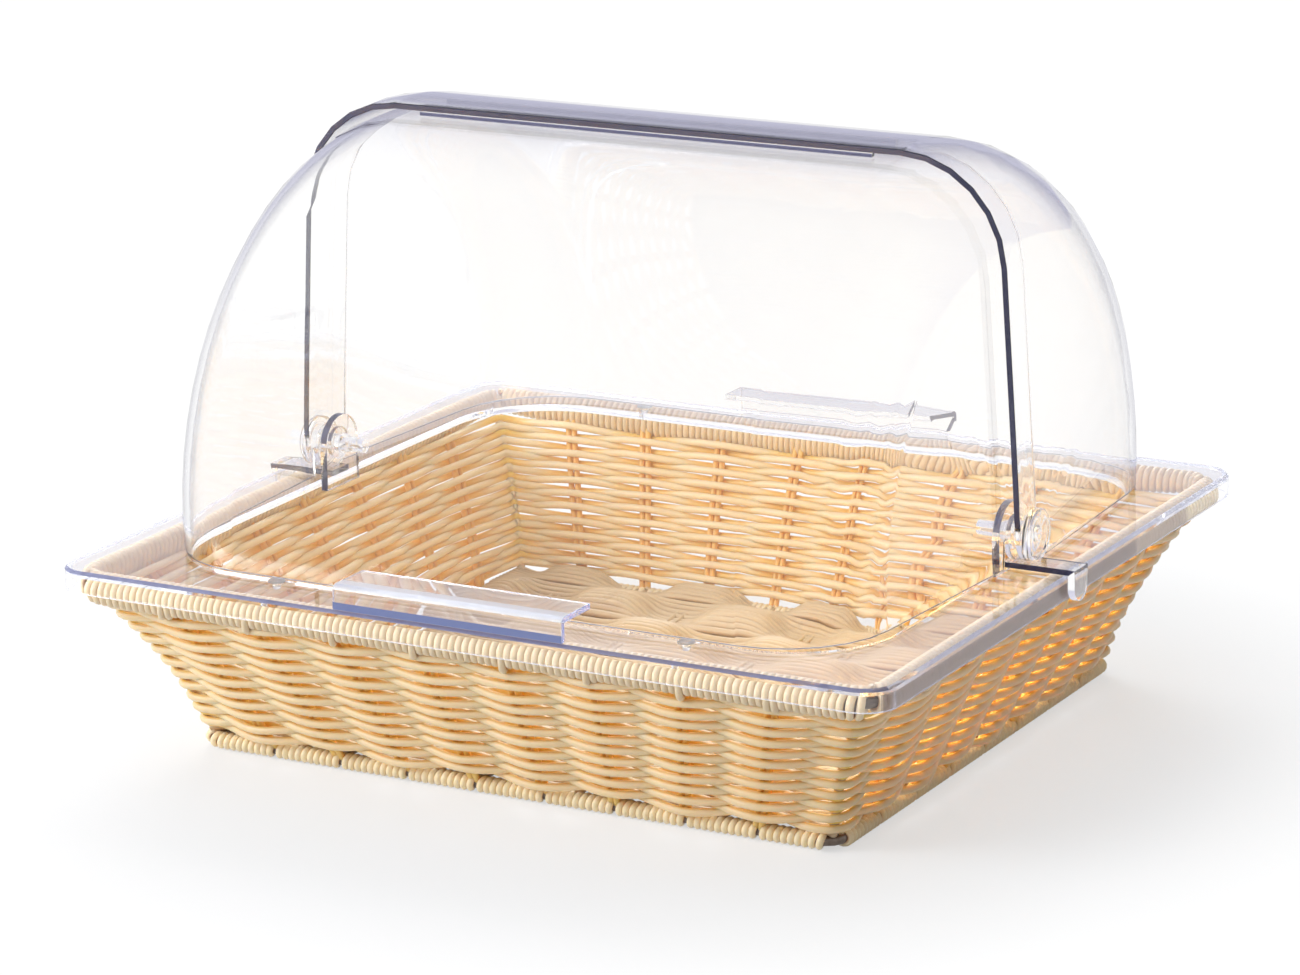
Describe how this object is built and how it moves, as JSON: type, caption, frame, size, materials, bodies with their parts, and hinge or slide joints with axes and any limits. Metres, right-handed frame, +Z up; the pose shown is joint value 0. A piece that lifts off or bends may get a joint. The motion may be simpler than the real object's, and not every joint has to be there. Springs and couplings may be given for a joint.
{
  "type": "countertop bread display basket with roll-top cover",
  "caption": "Woven bread basket on a wire frame, with a clear rim frame and a two-way roll-top cover of nested quarter shells that turn on snap pins.",
  "frame": {"origin": "on the counter, under the middle of the basket", "axes": "+X to the right along the hinge line and the longer side, +Y to the back, +Z up"},
  "size_m": [0.3606, 0.3264, 0.238],
  "materials": {
    "woven_strand": "satin cream plastic strand, translucent",
    "frame_wire": "plain drawn wire",
    "clear_plastic": "clear gloss, bluish cut edges",
    "hinge_plastic": "clear moulded, slightly cloudy",
    "frosted_plastic": "frosted soft plastic"
  },
  "bodies": {
    "basket": {"wire_frame": "frame_wire", "rim_winding_back": "woven_strand", "rim_winding_left": "woven_strand", "rim_winding_front": "woven_strand", "rim_winding_right": "woven_strand", "foot_winding_back": "woven_strand", "foot_winding_left": "woven_strand", "foot_winding_front": "woven_strand", "foot_winding_right": "woven_strand", "woven_wall_back": "woven_strand", "woven_wall_left": "woven_strand", "woven_wall_front": "woven_strand", "woven_wall_right": "woven_strand", "woven_floor": "woven_strand"},
    "cover": {"cover_frame": "clear_plastic", "bumper_front_left": "frosted_plastic", "bumper_front_right": "frosted_plastic", "bumper_back_left": "frosted_plastic", "bumper_back_right": "frosted_plastic", "hinge_bracket_left": "hinge_plastic", "hinge_bracket_right": "hinge_plastic", "hinge_pin_left": "hinge_plastic", "hinge_pin_right": "hinge_plastic", "hinge_washer_left": "hinge_plastic", "hinge_washer_right": "hinge_plastic"},
    "front_lid": {"front_shell": "clear_plastic", "front_grip": "clear_plastic", "front_stop_rib": "clear_plastic"},
    "back_lid": {"back_shell": "clear_plastic", "back_grip": "clear_plastic", "back_stop_rib": "clear_plastic"}
  },
  "joints": [
    {"name": "cover_lift", "type": "slide", "parent": "basket", "child": "cover", "axis": [0, 0, 1], "range_m": [0, 0.06]},
    {"name": "front_lid_hinge", "type": "hinge", "parent": "cover", "child": "front_lid", "pos_m": [0, 0, 0.0918], "axis": [1, 0, 0], "range_deg": [-43, 0]},
    {"name": "back_lid_hinge", "type": "hinge", "parent": "cover", "child": "back_lid", "pos_m": [0, 0, 0.0918], "axis": [1, 0, 0], "range_deg": [0, 43]}
  ]
}
